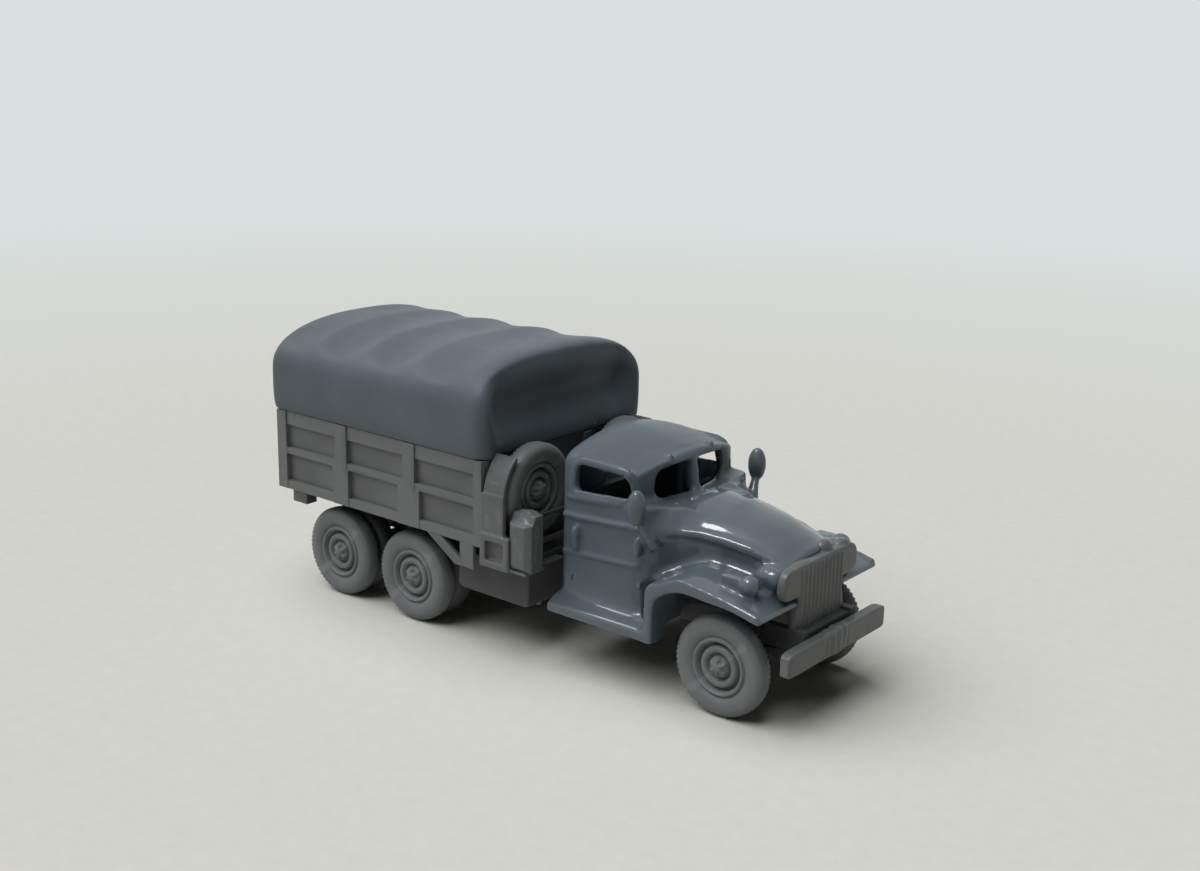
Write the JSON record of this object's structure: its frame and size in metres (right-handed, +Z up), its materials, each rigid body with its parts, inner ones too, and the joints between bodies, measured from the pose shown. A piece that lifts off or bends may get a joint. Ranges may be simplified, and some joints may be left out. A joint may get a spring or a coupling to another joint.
{
  "type": "scale model of a six-wheeled military cargo truck",
  "caption": "Small grey resin scale model of a bonneted military cargo truck with a closed cab, canvas-topped cargo bed and wheels that turn.",
  "frame": {"origin": "on the ground under the middle of the model", "axes": "+X forward, +Y to the truck's left, +Z up"},
  "size_m": [0.0622, 0.0246, 0.0283],
  "materials": {
    "resin_satin": "satin grey casting resin",
    "resin_gloss": "glossy grey casting resin"
  },
  "bodies": {
    "truck": {"axle_front": "resin_satin", "axle_middle": "resin_satin", "axle_rear": "resin_satin", "bed_brackets": "resin_satin", "bed_cross_bearers": "resin_satin", "bed_floor": "resin_satin", "bed_headboard": "resin_satin", "bed_side_left": "resin_satin", "bed_side_right": "resin_satin", "bumper": "resin_satin", "bumper_wraps": "resin_satin", "cab_back": "resin_satin", "cab_front": "resin_gloss", "cab_roof": "resin_satin", "canopy": "resin_satin", "door_left": "resin_satin", "door_right": "resin_satin", "driveline": "resin_satin", "engine_block": "resin_satin", "fender_left": "resin_gloss", "fender_right": "resin_gloss", "frame_rails": "resin_satin", "fuel_tanks": "resin_satin", "guard": "resin_gloss", "headlamps": "resin_gloss", "hood": "resin_gloss", "jerrycans": "resin_satin", "marker_lamps": "resin_gloss", "mirror_left": "resin_satin", "mirror_right": "resin_satin", "seat": "resin_satin", "side_racks": "resin_satin", "spare_carrier": "resin_satin", "spare_left": "resin_satin", "spare_right": "resin_satin", "springs_bogie": "resin_satin", "springs_front": "resin_satin", "steering_wheel": "resin_satin", "tailgate": "resin_satin"},
    "wheel_front_left": {"wheel_front_left": "resin_satin"},
    "wheel_front_right": {"wheel_front_right": "resin_satin"},
    "wheel_middle_left": {"wheel_middle_left": "resin_satin"},
    "wheel_middle_right": {"wheel_middle_right": "resin_satin"},
    "wheel_rear_left": {"wheel_rear_left": "resin_satin"},
    "wheel_rear_right": {"wheel_rear_right": "resin_satin"}
  },
  "joints": [
    {"name": "wheel_front_left_spin", "type": "hinge", "parent": "truck", "child": "wheel_front_left", "pos_m": [0.0238, 0.0077, 0.00465], "axis": [0, 1, 0], "continuous": true},
    {"name": "wheel_front_right_spin", "type": "hinge", "parent": "truck", "child": "wheel_front_right", "pos_m": [0.0238, -0.0077, 0.00465], "axis": [0, 1, 0], "continuous": true},
    {"name": "wheel_middle_left_spin", "type": "hinge", "parent": "truck", "child": "wheel_middle_left", "pos_m": [-0.0119, 0.00863, 0.00465], "axis": [0, 1, 0], "continuous": true},
    {"name": "wheel_middle_right_spin", "type": "hinge", "parent": "truck", "child": "wheel_middle_right", "pos_m": [-0.0119, -0.00863, 0.00465], "axis": [0, 1, 0], "continuous": true},
    {"name": "wheel_rear_left_spin", "type": "hinge", "parent": "truck", "child": "wheel_rear_left", "pos_m": [-0.0227, 0.00863, 0.00465], "axis": [0, 1, 0], "continuous": true},
    {"name": "wheel_rear_right_spin", "type": "hinge", "parent": "truck", "child": "wheel_rear_right", "pos_m": [-0.0227, -0.00863, 0.00465], "axis": [0, 1, 0], "continuous": true}
  ]
}
